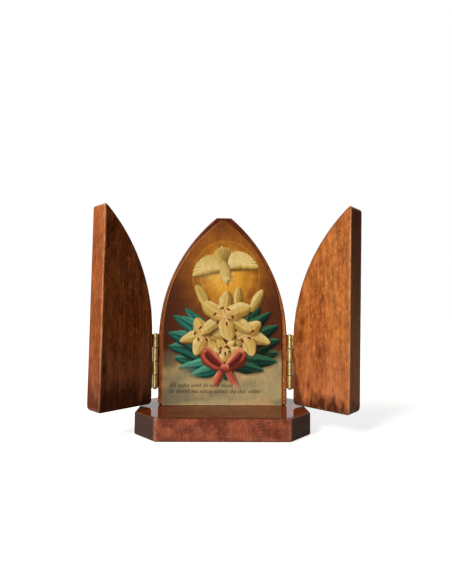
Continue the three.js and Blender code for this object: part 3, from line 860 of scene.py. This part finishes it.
for name, side in SIDES.items():
    joint = joints[f"{name}_hinge"]
    wing = bmesh.new()
    top = WING_HEIGHTS[name]
    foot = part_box("base")[1].z / MM + WING_LIFT
    heel, arc_end = lancet_side(wing, WING_WIDTH, WING_HALF_TIP, top, end_short=WING_TIP_SHORT)
    apex_height = arc_end.co.y + arc_end.co.x / math.tan(radians(WING_TIP_ANGLE))
    apex_place = Vector((0, apex_height, 0))
    wing_centre = Vector((WING_WIDTH / 2, apex_height / 2, WING_THICKNESS[name] / 2))
    apex = wing.verts.new(apex_place)
    toe = wing.verts.new((0, 0, 0))
    for pair in ((arc_end, apex), (apex, toe), (toe, heel)):
        wing.edges.new(pair)
    hinge_middle = Vector((WING_WIDTH, HINGE_MIDDLE - foot, 0))
    lean = Matrix.Rotation(side * radians(WING_LEANS[name]), 3, "Z")
    bmesh.ops.rotate(wing, cent=hinge_middle, matrix=lean, verts=wing.verts[:])
    for vert in wing.verts:
        if vert.co.x > WING_WIDTH - NEAR_EDGE_BAND:
            moved = (vert.co - hinge_middle).y * math.sin(side * radians(WING_LEANS[name]))
            eased = (EASED_TOP - vert.co.y) / (EASED_TOP - STRAIGHT_TOP)
            vert.co.x = min(vert.co.x + moved * min(max(eased, 0), 1), WING_WIDTH)
    round_corner(wing, apex, WING_TIP_ROUND, WING_TIP_ANGLE)
    round_corner(wing, toe, CORNER_ROUND)
    round_corner(wing, heel, WING_HEEL_ROUND)
    rub_and_highlight = sanded_board(wing, WING_THICKNESS[name], wear=0.08)
    # How pale each arris is drawn, worn wood and partly a painted highlight: the free edge's inner arris
    # most, and more higher up.
    for vert in wing.verts:
        free_edge = (lean @ Vector((-WING_WIDTH, vert.co.y - hinge_middle.y, 0))).x + WING_WIDTH
        is_free_inner = vert.co.x < free_edge + 2 * ARRIS and vert.co.z < 2 * ARRIS
        above_foot = min(vert.co.y / PALEST_FROM, 1)
        share = FOOT_PALE + (1 - FOOT_PALE) * above_foot if is_free_inner else OTHER_PALE
        vert[rub_and_highlight] = vert[rub_and_highlight] ** PALE_LINE_POWER * share
    for corner in (apex_place, Vector((0, 0, 0))):
        sharp = lean @ (corner - hinge_middle) + hinge_middle + Vector((0, 0, WING_THICKNESS[name]))
        inside = sharp.lerp(wing_centre, CORNER_PULL / (wing_centre - sharp).length)
        for vert in wing.verts:
            nearness = max(1 - (vert.co - sharp).length / CORNER_REACH, 0)
            vert.co += (inside - sharp) * nearness * nearness
    stand_up(wing, -AXIS_FORWARD, foot)
    shift(wing, -WING_EDGE - WING_WIDTH, 0, 0)
    stretch(wing, side, 1, 1)
    open_out(wing, side, joint)

    # Stained cedar under satin varnish. It is drawn darker along the curved edge, the stain has soaked
    # in unevenly at the foot, and the free edge's inner arris is pale, worn down to bare wood and partly
    # a painted highlight.
    wing_wood, tree = new_material(f"stained cedar, {name} wing")
    swing = side * radians(joint["range_deg"][1])
    contrast, fleck_share = WING_GRAIN[name]
    board, colour, figure = cedar(
        place=(*joint["pos_m"][:2], 0), turn=(0, 0, swing), tones=WING_TONES[name],
        seed=4 + side, contrast=contrast, fleck_share=fleck_share,
    )
    radius = arc_radius(WING_WIDTH, WING_HALF_TIP, top - SPRING_HEIGHT)
    swung = hinge_middle + lean @ (Vector((WING_WIDTH - radius, SPRING_HEIGHT, 0)) - hinge_middle)
    centre = (side * (swung.x - WING_EDGE - WING_WIDTH), 0, foot + swung.y)
    # Darker towards the curved edge.
    at_rim = node("MapRange", {
        "Value": distance(board, centre, (1, 0, 1)), "From Min": radius - RIM_BAND,
        "From Max": radius,
    })
    rim_share = node("Math", {0: at_rim, 1: 2.5}, operation="POWER")
    colour = tone_over(colour, "#3f180a", rim_share, 0, 1, RIM_DARK)

    on_board = node("SeparateXYZ", {0: board})
    height = on_board.outputs["Z"]
    # Painted reflection: the lower part of each wing is drawn paler in patches, as if its varnish
    # mirrored the pale floor.
    reflected_tone, reflected_share = WING_PAINTED_REFLECTIONS[name]
    low_half = node("MapRange", {
        "Value": height, "From Min": foot + REFLECTION_BAND[0], "From Max": foot + REFLECTION_BAND[1],
        "To Max": reflected_share,
    })
    reflection_patches = node("MapRange", {
        "Value": figure["bands"], "From Min": 0.38, "From Max": 0.6, "To Min": 0.3,
    })
    reflection_share = node("Math", {0: low_half, 1: reflection_patches}, operation="MULTIPLY")
    colour = node("Mix", {0: reflection_share, 6: colour, 7: reflected_tone}, data_type="RGBA")
    # Painted light falloff: each wing is drawn a little darker towards its foot, as if less light
    # reached it.
    painted_falloff = tone_over(*WING_PAINTED_FALLOFF[name], height, foot, foot + top)
    colour = node("VectorMath", {0: colour, 1: painted_falloff}, operation="MULTIPLY")
    for across, up, wide, tall in KNOTS[name]:
        middle = (-side * (WING_EDGE + across), 0, up)
        away = distance(board, middle, (1 / wide, 0, 1 / tall))
        ragged = node("Math", {0: figure["dashes"], 1: 1.6, 2: away}, operation="MULTIPLY_ADD")
        colour = tone_over(colour, "#5c200c", ragged, 2.2, 1.2, 0.75)

    low_down = node("MapRange", {
        "Value": height, "From Min": foot + SOAK_BAND[0], "From Max": foot + SOAK_BAND[1],
    })
    outwards = node("MapRange", {
        "Value": on_board.outputs["X"], "From Min": 0, "From Max": -side * WING_WIDTH,
        "To Max": -SOAK_LEANS[name],
    })
    leaning = node("Math", {0: low_down, 1: outwards}, operation="ADD")
    blotchy = node("Math", {0: figure["blotches"], 1: 2.2, 2: leaning}, operation="MULTIPLY_ADD")
    colour = tone_over(colour, "#32110a", blotchy, 1.4, 2.0, WING_SOAK[name])
    # Painted light and shade on the free edge, graded from its foot to its tip.
    facing = node("VectorMath", {
        0: node("TexCoord").outputs["Normal"],
        1: (-side * math.cos(swing), -side * math.sin(swing), 0),
    }, operation="DOT_PRODUCT")
    on_edge = node("MapRange", {"Value": facing, "From Min": 0.6, "From Max": 0.95})
    (foot_tone, foot_share), (tip_tone, tip_share) = EDGE_PAINTED_LIGHT[name]
    edge_tone = tone_over(foot_tone, tip_tone, height, foot, foot + top)
    share = node("MapRange", {
        "Value": height, "From Min": foot, "From Max": foot + top, "To Min": foot_share,
        "To Max": tip_share,
    })
    edge_share = node("Math", {0: on_edge, 1: share}, operation="MULTIPLY")
    colour = node("Mix", {0: edge_share, 6: colour, 7: edge_tone}, data_type="RGBA")
    colour = soaked_ends(colour, "Z", "#2c0f06", 0.9)
    colour = worn_and_highlit_arrises(colour, figure, "#dca27a", 0.9)
    varnish(colour, figure, gloss_roughness=0.2, weight=0.6)
    place_piece(wing, f"{name}_wing_board", wing_wood, f"{name}_wing", [f"{name}_wing"])


# ---- Hinges ----
# Two 25 mm brass butt hinges. Each leaf is stamped from sheet with every second tab rolled round
# the pin, and is screwed to the edge of its board. The left hinge hangs upside down.
HINGE_LENGTH = 25.4
HINGE_BOTTOM = 17.9  # height above the ground
KNUCKLES = 4
KNUCKLE_GAP = 0.15
BARREL_RADIUS = 1.2
ROLL_INSIDE = 0.66
LEAF_THICKNESS = 0.6
LEAF_REACH = 8  # from the hinge axis to the leaf's far edge
LEAF_NOTCH = 1.15  # from the hinge axis to the bottom of the notches between the tabs
LEAF_CORNER = 0.7
LEAF_ARRIS = 0.14  # how wide its edges are broken
ROLL_TURN = 302  # how far a tab is rolled before it meets its own leaf
ROLL_STEPS = 32

# Drawn brass, polished by handling: upright draw lines, coarser than real ones so that they show,
# olive painted shade on the flanks, where the barrel turns away from the eye, and nearly black along
# the seams where one knuckle turns against the next.
brass, tree = new_material("polished brass")
lines = speckle((0.1923, 0.1923, 3.846), 2)
# Painted shade: where the barrel is seen at a slant, it is drawn dark olive.
turned_from_eye = node("LayerWeight", {"Blend": 0.5})
metal = tone_over("#fdeaa6", "#8e7632", turned_from_eye.outputs["Facing"], 0.35, 0.85, 0.9)
metal = tone_over(metal, "#7d6a34", speckle((1.111, 1.111, 2.0), 3), 0.55, 0.75, 0.5)
height = node("SeparateXYZ", {0: node("TexCoord").outputs["Object"]})
# Nearly black along each seam between two knuckles.
pitches = node("Math", {
    0: height.outputs["Z"], 1: KNUCKLES / (HINGE_LENGTH * MM),
    2: -KNUCKLES * HINGE_BOTTOM / HINGE_LENGTH,
}, operation="MULTIPLY_ADD")
seam = node("Math", {0: pitches, 1: 0.5}, operation="PINGPONG")
metal = tone_over(metal, "#3a2c10", seam, 0.05, 0.015, 0.9)
gloss = node("MapRange", {"Value": lines, "To Min": 0.3, "To Max": 0.4})
scored = node("Bump", {"Strength": 0.15, "Distance": 0.00002, "Height": lines})
plug(tree.nodes["Principled BSDF"], {
    "Base Color": metal, "Metallic": 1.0, "Roughness": gloss, "Normal": scored,
})


def soften(piece):
    """Breaks a leaf's sharp edges, so that they catch the light."""
    rounding = piece.modifiers.new("broken edges", "BEVEL")
    rounding.width = LEAF_ARRIS * MM
    rounding.segments = 2
    rounding.limit_method = "ANGLE"
    rounding.angle_limit = radians(50)
    piece.modifiers.move(len(piece.modifiers) - 1, 0)


def hinge_leaf(wood_side, reach, has_top, bottom):
    """A leaf whose hinge axis is at the origin. Its wood is along X and its plate along Y."""
    leaf = bmesh.new()
    bmesh.ops.create_cube(leaf, size=1)
    stretch(leaf, LEAF_THICKNESS, LEAF_REACH - LEAF_NOTCH, HINGE_LENGTH)
    middle = (LEAF_NOTCH + LEAF_REACH) / 2
    shift(leaf, BARREL_RADIUS - LEAF_THICKNESS / 2, middle, bottom + HINGE_LENGTH / 2)
    corners = [e for e in leaf.edges if all(v.co.y > LEAF_NOTCH + 1 for v in e.verts)
               and abs(e.verts[0].co.z - e.verts[1].co.z) < LEVEL]
    round_off(leaf, corners, "EDGES", LEAF_CORNER, 4)
    pitch = HINGE_LENGTH / KNUCKLES
    for index in range(1, KNUCKLES):
        for off in (-KNUCKLE_GAP / 2, KNUCKLE_GAP / 2):
            bmesh.ops.bisect_plane(
                leaf, geom=leaf.verts[:] + leaf.edges[:] + leaf.faces[:],
                plane_co=(0, 0, bottom + index * pitch + off), plane_no=(0, 0, 1),
            )
    for index in range(KNUCKLES):
        if (KNUCKLES - 1 - index) % 2 == (1 if has_top else 0):
            continue
        centre = bottom + (index + 0.5) * pitch
        tab = next(f for f in leaf.faces if abs(f.calc_center_median().y - LEAF_NOTCH) < 1e-4
                   and abs(f.calc_center_median().z - centre) < pitch / 2 - KNUCKLE_GAP)
        grown = bmesh.ops.extrude_face_region(leaf, geom=[tab])["geom"]
        end = next(f for f in grown if isinstance(f, bmesh.types.BMFace))
        for vert in end.verts:
            vert.co.y = 0
            vert.co.x = max(vert.co.x, ROLL_INSIDE)
        bmesh.ops.spin(
            leaf, geom=[end], cent=(0, 0, 0), axis=(0, 0, 1), angle=-radians(ROLL_TURN),
            steps=ROLL_STEPS,
        )
        bmesh.ops.delete(leaf, geom=[tab, end], context="FACES_ONLY")
    stretch(leaf, wood_side, reach, 1)
    return leaf


for name, side in SIDES.items():
    joint = joints[f"{name}_hinge"]
    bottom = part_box(f"{name}_panel_leaf")[0].z / MM
    leaf = hinge_leaf(-side, 1, side > 0, bottom)
    put_on_axis(leaf, joint)
    piece = place_piece(
        leaf, f"{name}_hinge_fixed_leaf", brass, "stand", [f"{name}_panel_leaf"],
    )
    soften(piece)
    leaf = hinge_leaf(-side, -1, side < 0, bottom)
    open_out(leaf, side, joint)
    piece = place_piece(
        leaf, f"{name}_hinge_wing_leaf", brass, f"{name}_wing", [f"{name}_wing_leaf"],
    )
    soften(piece)


# ---- Hinge pins ----
# A drawn brass rod through each hinge's knuckles. Both its ends are hammered over into low domes
# that stand a little proud of the barrel and keep it from sliding out.
PIN_RADIUS = 0.6
PIN_HEAD_RADIUS = 0.95
PIN_HEAD_HEIGHT = 0.35
LATHE_STEPS = 32


def turned(profile, axis):
    """A lathe-turned solid: the profile is a chain of (radius, place along the axis)."""
    bm = bmesh.new()
    across = Vector((1, 0, 0)) if axis == "Z" else Vector((0, 1, 0))
    along = Vector((0, 0, 1)) if axis == "Z" else Vector((1, 0, 0))
    chain = [bm.verts.new(across * radius + along * place) for radius, place in profile]
    for pair in zip(chain, chain[1:]):
        bm.edges.new(pair)
    bmesh.ops.spin(
        bm, geom=bm.verts[:] + bm.edges[:], cent=(0, 0, 0), axis=along, angle=math.tau,
        steps=LATHE_STEPS, use_merge=True,
    )
    bmesh.ops.remove_doubles(bm, verts=bm.verts[:], dist=1e-4)
    return bm


def dome(radius, height, steps=6):
    """Half of a low dome's profile, from its rim to its middle."""
    quarter = radians(90)
    return [(radius * math.cos(quarter * k / steps), height * math.sin(quarter * k / steps))
            for k in range(steps + 1)]


for name in SIDES:
    low, high = (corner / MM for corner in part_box(f"{name}_hinge_pin"))
    head = dome(PIN_HEAD_RADIUS, PIN_HEAD_HEIGHT)
    profile = [(radius, low.z + PIN_HEAD_HEIGHT - place) for radius, place in reversed(head)]
    profile += [(PIN_RADIUS, low.z + PIN_HEAD_HEIGHT), (PIN_RADIUS, high.z - PIN_HEAD_HEIGHT)]
    profile += [(radius, high.z - PIN_HEAD_HEIGHT + place) for radius, place in head]
    pin = turned(profile, "Z")
    put_on_axis(pin, joints[f"{name}_hinge"])
    place_piece(pin, f"{name}_pin", brass, "stand", [f"{name}_hinge_pin"])


# ---- Screws ----
# Small turned round-head screws of brass, each with a straight slot across its head. Two of them
# hold each leaf, driven through it into the edge of its board.
SCREW_HEAD_RADIUS = 1.25
SCREW_HEAD_HEIGHT = 0.4
SCREW_SHANK_RADIUS = 0.6
SCREW_SHANK_LENGTH = 6
SCREW_REACH = 4.8  # from the hinge axis
SLOT_WIDTH = 0.34
SLOT_DEPTH = 0.14


def screw(turn):
    """A screw along X with its head's underside at the origin, its slot turned by turn."""
    bm = turned([
        (0, -SCREW_SHANK_LENGTH), (SCREW_SHANK_RADIUS, SCREW_SHANK_RADIUS - SCREW_SHANK_LENGTH),
        (SCREW_SHANK_RADIUS, 0), (SCREW_HEAD_RADIUS, 0), (SCREW_HEAD_RADIUS, SLOT_DEPTH),
    ] + [(radius, SLOT_DEPTH + place) for radius, place in dome(
        SCREW_HEAD_RADIUS, SCREW_HEAD_HEIGHT - SLOT_DEPTH)[1:]], "X")
    for edge_of_slot in (-SLOT_WIDTH / 2, SLOT_WIDTH / 2):
        bmesh.ops.bisect_plane(
            bm, geom=bm.verts[:] + bm.edges[:] + bm.faces[:], plane_co=(0, edge_of_slot, 0),
            plane_no=(0, 1, 0),
        )
    bm.normal_update()
    floor_of_slot = [f for f in bm.faces if f.calc_center_median().x > SLOT_DEPTH + 1e-3
                     and abs(f.calc_center_median().y) < SLOT_WIDTH / 2]
    grown = bmesh.ops.extrude_face_region(bm, geom=floor_of_slot)["geom"]
    bmesh.ops.translate(
        bm, vec=(-SLOT_DEPTH, 0, 0), verts=[v for v in grown if isinstance(v, bmesh.types.BMVert)],
    )
    bmesh.ops.delete(bm, geom=floor_of_slot, context="FACES")
    bmesh.ops.rotate(bm, cent=(0, 0, 0), matrix=Matrix.Rotation(turn, 3, "X"), verts=bm.verts[:])
    return bm


SLOT_TURNS = {1: 0.5, 2: -0.9}
for name, side in SIDES.items():
    joint = joints[f"{name}_hinge"]
    for number, turn in SLOT_TURNS.items():
        for leaf, reach in (("panel", 1), ("wing", -1)):
            node_name = f"{name}_{leaf}_screw_{number}"
            low, high = (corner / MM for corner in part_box(node_name))
            fixing = screw(turn * reach)
            stretch(fixing, side, 1, 1)
            plate = side * (LEAF_THICKNESS - BARREL_RADIUS)
            shift(fixing, plate, reach * SCREW_REACH, (low.z + high.z) / 2)
            if leaf == "panel":
                put_on_axis(fixing, joint)
                body = "stand"
            else:
                open_out(fixing, side, joint)
                body = f"{name}_wing"
            piece_name = f"{name}_{leaf}_fixing_{number}"
            place_piece(fixing, piece_name, brass, body, [node_name])
